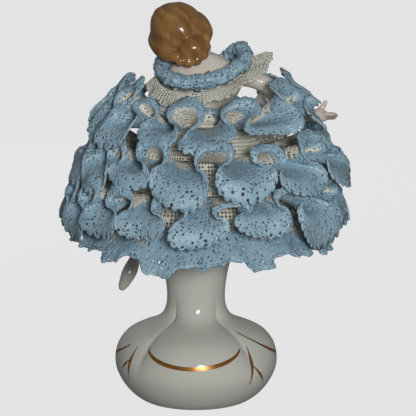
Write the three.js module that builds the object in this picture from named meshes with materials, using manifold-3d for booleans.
// Porcelain lace figurine: a seated dancer in a ruffled lace skirt on a lobed pedestal.
// Millimetres, +Z up. The origin is the middle of the pedestal's flat underside.
// The dancer faces +Y, so her back is towards -Y and her right hand towards +X.
import * as THREE from "three";
import { ParametricGeometry } from "three/addons/geometries/ParametricGeometry.js";
import { mergeVertices } from "three/addons/utils/BufferGeometryUtils.js";
import Module from "manifold-3d";

// Clearance left between pieces that touch
const GAP = 0.35;

// Pedestal
const FOOT_RADIUS = 20;
const BASE_RADIUS = 28.4;
const BASE_WIDEST_Z = 13.5;
const BASE_TOP_Z = 28.5;
const STEM_RADIUS = 10.3;
const STEM_Z = 37;
const SEAT_RADIUS = 17;
const SEAT_Z = 60;
const LOBES = 4;
const LOBE_DEPTH = 3;
const VENT_RADIUS = 2;
const VENT_DEPTH = 5;
const VENT_OFFSET = 11;

// Dancer: heights are above the seat
const WAIST_HALF_WIDTH = 8.5;
const WAIST_HALF_DEPTH = 7;
const SHOULDER_HALF_WIDTH = 14.5;
const SHOULDER_UP = 52;
const ARM_RADIUS = 3.1;
const LEG_RADIUS = 5;
const HEAD_CENTRE = [-5.2, 2.2, SHOULDER_UP + 14.6];
const HEAD_PITCH = -0.35;
const HEAD_ROLL = -0.52;
const SKULL_HALF = [7.3, 8.8, 9.8];

// Lace
const LACE = 0.9;
const UNDERSKIRT_TOP_UP = 39;
const UNDERSKIRT_TOP_RADIUS = 11.3;
const UNDERSKIRT_HEM_UP = 2;
const UNDERSKIRT_HEM_RADIUS = 32;
const UNDERSKIRT_FULLNESS = 0.62;
const SKIRT_CENTRE_X = 2.4;
const SKIRT_HALF_WIDTH = 48.5;
const SKIRT_HALF_DEPTH = 43.5;
const FOLD_DEPTH = 8.4;

// Flounces from the top row to the hem. Heights and the edge's half sizes are shares of the
// underskirt's height and of the skirt's half width and depth: root is where the strip is
// gathered on, edge the free edge's height at the back and rise what the sides gain on it.
// The folds swing by their share of the depth along the skirt's dome, which leans inwards
// by lean there.
const FLOUNCES = [
  { root: 0.92, edge: 1, rise: 0.15, aside: 0.08, wide: 0.71, deep: 0.63, folds: 11, swing: 1, lean: 0.56, turn: 0.2 },
  { root: 0.67, edge: 0.64, rise: 0.1, aside: 0.1, wide: 0.9, deep: 0.87, folds: 13, swing: 0.9, lean: 0.4, turn: 1.7 },
  { root: 0.385, edge: 0.27, rise: 0.05, aside: 0.055, wide: 1, deep: 1, folds: 14, swing: 0.79, lean: 0.08, turn: 0.6 },
  { root: 0.13, edge: -0.08, rise: 0, aside: 0.055, wide: 0.94, deep: 0.965, folds: 13, swing: 0.74, lean: -0.3, turn: 2.4 },
];
const FOLD_OVERHANG = 3.8;
const STEPS_PER_FOLD = 8;

// Collars
const NECK_CENTRE = [2.5, -1];
const NECKLINE_HALF_X = 14.2;
const NECKLINE_BACK_Y = 9.4;
const NECKLINE_FRONT_Y = 12.5;
const NECKLINE_PLUNGE = 1.7;
const NECKLINE_UP = SHOULDER_UP + 5.4;
const NECKLINE_DIP = 6.2;
const NECKLINE_LEAN = 2;
const RUCHE_RADIUS = 2.2;
const RUCHE_PUFFS = 16;
const BERTHA_WIDTH = 8.5;
const BERTHA_LIFT = 3;
const BERTHA_STEPS = 56;

const seat = SEAT_Z + GAP;
const wasm = await Module();
wasm.setup();

// A closed three.js geometry as a solid, without the slivers that a pole leaves.
function solidOf(geometry) {
  const bare = geometry.clone();
  bare.deleteAttribute("normal");
  bare.deleteAttribute("uv");
  const merged = mergeVertices(bare, 1e-3);
  const corners = merged.index.array;
  const kept = [];
  for (let i = 0; i < corners.length; i += 3) {
    const [a, b, c] = [corners[i], corners[i + 1], corners[i + 2]];
    if (a !== b && b !== c && c !== a) kept.push(a, b, c);
  }
  return new wasm.Manifold(
    new wasm.Mesh({
      numProp: 3,
      vertProperties: merged.attributes.position.array,
      triVerts: new Uint32Array(kept),
    }),
  );
}

function geometryOf(solid) {
  const mesh = solid.getMesh();
  const geometry = new THREE.BufferGeometry();
  geometry.setAttribute("position", new THREE.BufferAttribute(mesh.vertProperties, mesh.numProp));
  geometry.setIndex(new THREE.BufferAttribute(mesh.triVerts, 1));
  geometry.computeVertexNormals();
  return geometry;
}

function joined(solids) {
  return solids.reduce((all, next) => all.add(next));
}

// The largest connected piece of a solid that was cut.
function mainBodyOf(solid) {
  return solid.decompose().reduce((best, next) => (next.volume() > best.volume() ? next : best));
}

function mix(a, b, share) {
  return a + (b - a) * share;
}

// A smooth bump of height 1 where offset is 0, fading over width.
function bump(offset, width) {
  return Math.exp(-(offset * offset) / (width * width));
}

// A smooth curve through [height, value] pairs.
function profile(pairs) {
  const curve = new THREE.SplineCurve(pairs.map(([u, value]) => new THREE.Vector2(u, value)));
  return (share) => curve.getPoint(share);
}

// A ball whose radius is changed by shape(direction).
function ball(centre, half, around, along, shape = () => 1) {
  const direction = new THREE.Vector3();
  const geometry = new ParametricGeometry(
    (u, v, target) => {
      const turn = 2 * Math.PI * u;
      const fall = Math.PI * (v - 0.5);
      const ring = v === 0 || v === 1 ? 0 : Math.cos(fall);
      direction.set(ring * Math.cos(turn), ring * Math.sin(turn), Math.sin(fall));
      target.set(direction.x * half[0], direction.y * half[1], direction.z * half[2]);
      target.multiplyScalar(shape(direction));
      target.add(new THREE.Vector3(...centre));
    },
    around,
    along,
  );
  return geometry;
}

// A round limb through stations [x, y, up, radius], drawn to a point at both ends.
function limb(stations, around, along, grow = 0) {
  const path = new THREE.CatmullRomCurve3(stations.map(([x, y, up]) => new THREE.Vector3(x, y, up)));
  const frames = path.computeFrenetFrames(along, false);
  return new ParametricGeometry(
    (u, v, target) => {
      const step = Math.round(v * along);
      const place = v * (stations.length - 1);
      const before = Math.min(Math.floor(place), stations.length - 2);
      const radius = mix(stations[before][3], stations[before + 1][3], place - before) + grow;
      const ending = step === 0 || step === along ? 0 : 1;
      const turn = 2 * Math.PI * u;
      target.copy(path.getPoint(v));
      target.addScaledVector(frames.normals[step], radius * ending * Math.cos(turn));
      target.addScaledVector(frames.binormals[step], radius * ending * Math.sin(turn));
    },
    around,
    along,
  );
}

// A closed band of lace: pointAt(turn, share) is its middle surface, share 0 at the root
// and 1 at the free edge, and thickness is laid half to each side.
function band(pointAt, thickness, around, across) {
  const sides = 2 * across + 2;
  const [here, ahead, outward] = [new THREE.Vector3(), new THREE.Vector3(), new THREE.Vector3()];
  const step = 1e-3;
  const geometry = new ParametricGeometry(
    (u, v, target) => {
      const corner = Math.round(v * sides) % sides;
      const below = corner <= across;
      const share = (below ? corner : sides - 1 - corner) / across;
      const turn = 2 * Math.PI * (u === 1 ? 0 : u);
      pointAt(turn, share, here);
      pointAt(turn + step, share, ahead).sub(here);
      pointAt(turn, share + step, outward).sub(here);
      ahead.cross(outward).normalize();
      target.copy(here).addScaledVector(ahead, (below ? thickness : -thickness) / 2);
    },
    around,
    sides,
  );
  // Both walls are split along the same diagonals, so that twisted folds don't cross.
  const corners = geometry.index;
  for (let quad = (across + 1) * around; quad < (2 * across + 1) * around; quad++) {
    corners.setX(6 * quad + 2, corners.getX(6 * quad + 4));
    corners.setX(6 * quad + 3, corners.getX(6 * quad));
  }
  return geometry;
}

// Pedestal: a lathe-turned bun base and waisted stem, pressed into lobes.
function pedestal() {
  const under = 0.9;
  const outline = new THREE.SplineCurve([
    new THREE.Vector2(FOOT_RADIUS + under, 0.7),
    new THREE.Vector2(mix(FOOT_RADIUS, BASE_RADIUS, 0.62), BASE_WIDEST_Z * 0.4),
    new THREE.Vector2(BASE_RADIUS, BASE_WIDEST_Z),
    new THREE.Vector2(BASE_RADIUS * 0.93, mix(BASE_WIDEST_Z, BASE_TOP_Z, 0.5)),
    new THREE.Vector2(mix(STEM_RADIUS, BASE_RADIUS, 0.45), BASE_TOP_Z - 2.2),
    new THREE.Vector2(STEM_RADIUS * 1.12, BASE_TOP_Z + 1.2),
    new THREE.Vector2(STEM_RADIUS, STEM_Z),
    new THREE.Vector2(mix(STEM_RADIUS, SEAT_RADIUS, 0.4), mix(STEM_Z, SEAT_Z, 0.55)),
    new THREE.Vector2(SEAT_RADIUS, SEAT_Z - 1),
  ]);
  const points = [new THREE.Vector2(0, 0), new THREE.Vector2(FOOT_RADIUS, 0)];
  points.push(...outline.getPoints(12));
  points.push(new THREE.Vector2(SEAT_RADIUS - 1, SEAT_Z), new THREE.Vector2(0, SEAT_Z));
  const turned = new THREE.LatheGeometry(points, 32);
  turned.rotateX(Math.PI / 2);
  const place = turned.attributes.position;
  for (let i = 0; i < place.count; i++) {
    const [x, y, z] = [place.getX(i), place.getY(i), place.getZ(i)];
    const radius = Math.hypot(x, y);
    if (radius < 1e-6) continue;
    const angle = Math.atan2(y, x);
    const crease = Math.pow(Math.abs(Math.cos((LOBES / 2) * (angle + Math.PI / 2))), 0.7);
    const reach = bump(z - mix(BASE_WIDEST_Z, BASE_TOP_Z, 0.75), 9);
    const pressed = 1 - (LOBE_DEPTH * (1 - crease) * reach) / radius;
    place.setXY(i, x * pressed, y * pressed);
  }
  const vent = new THREE.CylinderGeometry(VENT_RADIUS, VENT_RADIUS, 2 * VENT_DEPTH, 12);
  vent.rotateX(Math.PI / 2);
  vent.translate(0, VENT_OFFSET, 0);
  return geometryOf(solidOf(turned).subtract(solidOf(vent)));
}

// Head in its own frame: she looks along +Y, with +Z to the crown.
function head() {
  const [wide, deep, tall] = SKULL_HALF;
  const face = ball([0, 0, 0], SKULL_HALF, 18, 16, (d) => {
    const front = Math.max(0, d.y);
    const side = Math.abs(d.x);
    const nose = 0.17 * bump(d.x, 0.14) * bump(d.z + 0.12, 0.2);
    const sockets = -0.05 * bump(side - 0.38, 0.2) * bump(d.z - 0.1, 0.16);
    const lips = 0.04 * bump(d.x, 0.22) * bump(d.z + 0.5, 0.1);
    const chin = 0.08 * bump(d.x, 0.3) * bump(d.z + 0.78, 0.2);
    const jaw = -0.1 * Math.max(0, -d.z) * side;
    return 1 + jaw + front * (nose + sockets + lips + chin);
  });
  const cap = ball([0, -0.24 * deep, 0.2 * tall], [1.28 * wide, 1.06 * deep, 1.04 * tall], 18, 12, (d) => {
    return 1 + 0.025 * Math.cos(7 * Math.atan2(d.x, d.z + 0.4));
  });
  const sideLock = [
    [0.75 * wide, 0.35 * deep, 0.75 * tall, 1.8],
    [1.12 * wide, -0.1 * deep, 0.25 * tall, 2.6],
    [1.05 * wide, -0.55 * deep, -0.4 * tall, 2.5],
    [0.6 * wide, -0.85 * deep, -0.8 * tall, 1.6],
  ];
  const pieces = [solidOf(face), solidOf(cap), solidOf(limb(sideLock, 8, 9))];
  pieces.push(solidOf(limb(sideLock.map(([x, ...rest]) => [-x, ...rest]), 8, 9)));
  pieces.push(solidOf(ball([0.1 * wide, -0.8 * deep, -0.62 * tall], [5.4, 4, 4.4], 11, 8)));
  const curls = 5;
  for (let i = 0; i < curls; i++) {
    const turn = mix(-1.2, 1.2, i / (curls - 1));
    const centre = [5.4 * Math.sin(turn), -0.78 * deep, -0.62 * tall - 3.6 * Math.cos(turn)];
    pieces.push(solidOf(ball(centre, [2, 2, 2], 7, 5)));
  }
  const pose = new THREE.Matrix4().makeRotationFromEuler(new THREE.Euler(HEAD_PITCH, HEAD_ROLL, 0));
  pose.setPosition(...HEAD_CENTRE);
  return joined(pieces).transform(pose.elements);
}

// Torso: stacked ovals from the hips to the base of the neck.
function torso(grow = 0) {
  const sections = [
    [3, 0, 1, 13.5, 11],
    [3, 1, 10, 15, 12],
    [3, 0.5, 22, 12, 9.5],
    [2.6, 0, 34, WAIST_HALF_WIDTH, WAIST_HALF_DEPTH],
    [2.6, 0.6, 43, 10.5, 8],
    [2.5, 0, SHOULDER_UP - 2, SHOULDER_HALF_WIDTH * 0.93, 7.2],
    [2.2, 0, SHOULDER_UP + 3, 10, 5.6],
    [1.4, 0.4, SHOULDER_UP + 6.5, 4.6, 4.2],
  ];
  const along = 12;
  const columns = [0, 1, 2, 3, 4].map((k) => profile(sections.map((row, i) => [i, row[k]])));
  return new ParametricGeometry(
    (u, v, target) => {
      const [x, y, up, halfX, halfY] = columns.map((column) => column(v).y);
      const ending = v === 0 || v === 1 ? 0 : 1;
      const turn = 2 * Math.PI * u;
      target.set(
        x + (halfX + grow) * ending * Math.cos(turn),
        y + (halfY + grow) * ending * Math.sin(turn),
        up,
      );
    },
    16,
    along,
  );
}

const RIGHT_ARM = [
  [SHOULDER_HALF_WIDTH, 1, SHOULDER_UP - 1.5, ARM_RADIUS * 1.15],
  [22.5, 5, SHOULDER_UP - 5, ARM_RADIUS],
  [30, 10, SHOULDER_UP - 10.5, ARM_RADIUS * 0.9],
  [36, 8, SHOULDER_UP - 11.5, ARM_RADIUS * 0.75],
  [41.5, 5.5, SHOULDER_UP - 12.5, ARM_RADIUS * 0.62],
];
const LEFT_ARM = [
  [5 - SHOULDER_HALF_WIDTH, 2.5, SHOULDER_UP - 2, ARM_RADIUS * 1.15],
  [-11.5, 9, SHOULDER_UP - 6, ARM_RADIUS],
  [-10, 16.5, SHOULDER_UP - 10.5, ARM_RADIUS * 0.9],
  [-5, 22.5, SHOULDER_UP - 10, ARM_RADIUS * 0.75],
  [0, 27, SHOULDER_UP - 8.5, ARM_RADIUS * 0.62],
];

// A hand: palm and fingers spread from the wrist, pointing along the given heading.
function hand(wrist, heading, spread) {
  const at = (ahead, aside, up) => [
    wrist[0] + ahead * Math.cos(heading) - aside * Math.sin(heading),
    wrist[1] + ahead * Math.sin(heading) + aside * Math.cos(heading),
    wrist[2] + up,
  ];
  const pieces = [solidOf(limb([[...at(-1, 0, 0), 1.8], [...at(2, 0, 0), 2.2], [...at(4.6, 0, 0), 1.5]], 8, 5))];
  for (let finger = 0; finger < 4; finger++) {
    const aside = (finger - 1.5) * 0.8;
    const up = (1.5 - finger) * 0.5 * spread;
    const reach = 8.2 - 0.5 * Math.abs(finger - 1);
    const stations = [[...at(2.4, aside * 0.7, up * 0.4), 0.85], [...at(reach, aside * 1.5, up), 0.6]];
    pieces.push(solidOf(limb(stations, 6, 3)));
  }
  const thumb = [[...at(1.2, 0.6, 0.8), 0.9], [...at(3.4, 1.2, 3), 0.8], [...at(4.4, 1.2, 5), 0.55]];
  pieces.push(solidOf(limb(thumb, 6, 3)));
  return pieces;
}

const LEFT_LEG = [
  [-2, 4, 7.5, LEG_RADIUS * 1.5],
  [-6, 19, 2.6, LEG_RADIUS],
  [-14, 17, -5, LEG_RADIUS * 0.72],
  [-21, 12, -13, LEG_RADIUS * 0.42],
  [-23.5, 10, -18, LEG_RADIUS * 0.56],
  [-26.5, 8.5, -23.5, LEG_RADIUS * 0.32],
];
const RIGHT_LEG = [
  [7, 5, 7.5, LEG_RADIUS * 1.5],
  [8, 21.5, 2.6, LEG_RADIUS],
  [6, 23, -9, LEG_RADIUS * 0.78],
  [2.5, 20, -21, LEG_RADIUS * 0.42],
  [0.5, 21.5, -27, LEG_RADIUS * 0.54],
  [-1.5, 24, -33, LEG_RADIUS * 0.3],
];

function figure() {
  const neck = [
    [3.2, 0.4, SHOULDER_UP + 1, 5],
    [1.6, 0.6, SHOULDER_UP + 5, 3.7],
    [-0.6, 1, SHOULDER_UP + 9.5, 3.5],
    [-3, 1.6, SHOULDER_UP + 13, 3.2],
  ];
  const pieces = [head(), solidOf(torso()), solidOf(limb(neck, 10, 7))];
  for (const arm of [RIGHT_ARM, LEFT_ARM]) pieces.push(solidOf(limb(arm, 8, 9)));
  pieces.push(...hand(RIGHT_ARM.at(-1), -0.2, 1));
  pieces.push(...hand(LEFT_ARM.at(-1), 0.9, 0.4));
  for (const leg of [LEFT_LEG, RIGHT_LEG]) pieces.push(solidOf(limb(leg, 8, 10)));
  const whole = joined(pieces);
  return whole.translate(0, 0, seat).subtract(seatRoom());
}

// The seat's outline grown by the clearance, which the thighs and hips are cut by.
function seatRoom() {
  const points = [
    new THREE.Vector2(0, STEM_Z),
    new THREE.Vector2(STEM_RADIUS + 2, STEM_Z),
    new THREE.Vector2(mix(STEM_RADIUS, SEAT_RADIUS, 0.5) + 2, mix(STEM_Z, SEAT_Z, 0.55)),
    new THREE.Vector2(SEAT_RADIUS + GAP, SEAT_Z - 1.5),
    new THREE.Vector2(SEAT_RADIUS + GAP, SEAT_Z + GAP),
    new THREE.Vector2(0, SEAT_Z + GAP),
  ];
  return solidOf(new THREE.LatheGeometry(points, 40).rotateX(Math.PI / 2));
}

// Arms grown by the clearance, which the lace is parted by.
function armRoom() {
  const arms = [RIGHT_ARM, LEFT_ARM].map((arm) => solidOf(limb(arm, 6, 7, 4 * GAP)));
  const palms = [RIGHT_ARM, LEFT_ARM].map((arm) => {
    const [x, y, up] = arm.at(-1);
    return solidOf(ball([x + 3, y + 1, up + 1], [7.5, 5, 4.5], 8, 6));
  });
  return joined([...arms, ...palms]).translate(0, 0, seat);
}

// The underskirt is a bell: it swells quickly below the waist.
function underskirtRadius(up) {
  const share = (UNDERSKIRT_TOP_UP - up) / (UNDERSKIRT_TOP_UP - UNDERSKIRT_HEM_UP);
  return mix(UNDERSKIRT_TOP_RADIUS, UNDERSKIRT_HEM_RADIUS, Math.pow(share, UNDERSKIRT_FULLNESS));
}

function underskirt() {
  const rows = 3;
  const outer = Array.from({ length: rows + 1 }, (_, i) => {
    const up = mix(UNDERSKIRT_HEM_UP, UNDERSKIRT_TOP_UP, i / rows);
    return new THREE.Vector2(underskirtRadius(up), seat + up);
  });
  const inner = [...outer].reverse().map((p) => new THREE.Vector2(p.x - 1.2 * LACE, p.y));
  const shell = new THREE.LatheGeometry([...outer, ...inner, outer[0]], 32);
  shell.rotateX(Math.PI / 2);
  shell.translate(SKIRT_CENTRE_X, 0, 0);
  return shell;
}

// Middle surface of a flounce: the root lies on the underskirt and the free edge winds to
// and fro in deep folds that lean over each other.
function flouncePoint(row) {
  const rootUp = row.root * UNDERSKIRT_TOP_UP;
  const rootRadius = underskirtRadius(rootUp) + GAP + LACE;
  const halfX = row.wide * SKIRT_HALF_WIDTH;
  const halfY = row.deep * SKIRT_HALF_DEPTH;
  const [root, edge, away, along, swing] = Array.from({ length: 5 }, () => new THREE.Vector3());
  return (turn, share, target) => {
    const [c, s] = [Math.cos(turn), Math.sin(turn)];
    const edgeUp = (row.edge + row.rise * c * c) * UNDERSKIRT_TOP_UP;
    root.set(SKIRT_CENTRE_X + rootRadius * c, rootRadius * s, seat + rootUp);
    edge.set(row.aside * SKIRT_HALF_WIDTH + halfX * c, halfY * s, seat + edgeUp);
    along.set(-halfX * s, halfY * c, 0).normalize();
    away.set(along.y, -along.x, 0);
    swing.set(0, 0, Math.cos(row.lean)).addScaledVector(away, -Math.sin(row.lean));
    const wander = 0.35 * Math.sin(3 * turn + row.turn) + 0.2 * Math.sin(5 * turn);
    const fold = row.folds * turn + row.turn + wander;
    const swell = 1 + 0.06 * Math.sin(2 * turn + 3 * row.turn) + 0.04 * Math.sin(7 * turn);
    target.lerpVectors(root, edge, share);
    target.addScaledVector(swing, share * row.swing * FOLD_DEPTH * swell * Math.cos(fold));
    target.addScaledVector(along, share * FOLD_OVERHANG * Math.sin(2 * fold));
    return target;
  };
}

// The neckline: low behind, high on the shoulders and plunging in front.
function necklinePoint(turn, target) {
  const [c, s] = [Math.cos(turn), Math.sin(turn)];
  const front = Math.max(0, s);
  const halfY = mix(NECKLINE_BACK_Y, NECKLINE_FRONT_Y, front);
  const rise = NECKLINE_DIP * s * (1 - NECKLINE_PLUNGE * front * front) + NECKLINE_LEAN * c;
  return target.set(
    NECK_CENTRE[0] + NECKLINE_HALF_X * c,
    NECK_CENTRE[1] + halfY * s,
    seat + NECKLINE_UP + rise,
  );
}

function necklineRuche() {
  const centre = new THREE.Vector3();
  return new ParametricGeometry(
    (u, v, target) => {
      const turn = 2 * Math.PI * (u === 1 ? 0 : u);
      const round = 2 * Math.PI * (v === 1 ? 0 : v);
      necklinePoint(turn, centre);
      const radius = RUCHE_RADIUS * (1 + 0.16 * Math.sin(RUCHE_PUFFS * turn + Math.sin(3 * turn)));
      const out = radius * Math.cos(round);
      target.set(
        centre.x + out * Math.cos(turn),
        centre.y + out * Math.sin(turn),
        centre.z + radius * Math.sin(round),
      );
    },
    2.5 * RUCHE_PUFFS,
    6,
  );
}

// The bertha hangs from under the ruche and stands away from the right shoulder.
function berthaPoint(turn, share, target) {
  necklinePoint(turn, target);
  const [c, s] = [Math.cos(turn), Math.sin(turn)];
  const toRight = Math.max(0, c);
  const drop = RUCHE_RADIUS + GAP + LACE + share * mix(BERTHA_WIDTH * 0.5, -BERTHA_LIFT, toRight);
  const out = 1.2 + share * mix(BERTHA_WIDTH * 0.45, BERTHA_WIDTH, toRight) + 0.7 * share * Math.sin(11 * turn);
  target.x += out * c;
  target.y += out * s;
  target.z -= drop;
  return target;
}

const glaze = { roughness: 0.18, metalness: 0 };
const bisque = { roughness: 0.55, metalness: 0 };
const group = new THREE.Group();

function addPiece(name, geometry, colour, finish) {
  const piece = new THREE.Mesh(geometry, new THREE.MeshStandardMaterial({ color: colour, ...finish }));
  piece.name = name;
  group.add(piece);
}

const figureSolid = figure();
const parting = armRoom();
addPiece("pedestal", pedestal(), 0xe6e6dc, glaze);
addPiece("figure", geometryOf(figureSolid), 0xe9d9cc, glaze);
addPiece("underskirt", underskirt(), 0xe2dfd0, bisque);
FLOUNCES.forEach((row, i) => {
  const strip = solidOf(band(flouncePoint(row), LACE, row.folds * STEPS_PER_FOLD, 1));
  addPiece(`skirt_flounce_${i + 1}`, geometryOf(mainBodyOf(strip.subtract(parting))), 0x7f9dae, bisque);
});
const bertha = solidOf(band(berthaPoint, LACE, BERTHA_STEPS, 1)).subtract(parting);
addPiece("bertha_lace", geometryOf(mainBodyOf(bertha)), 0xe2dfd0, bisque);
addPiece("neckline_ruche", necklineRuche(), 0x7f9dae, bisque);

export default group;
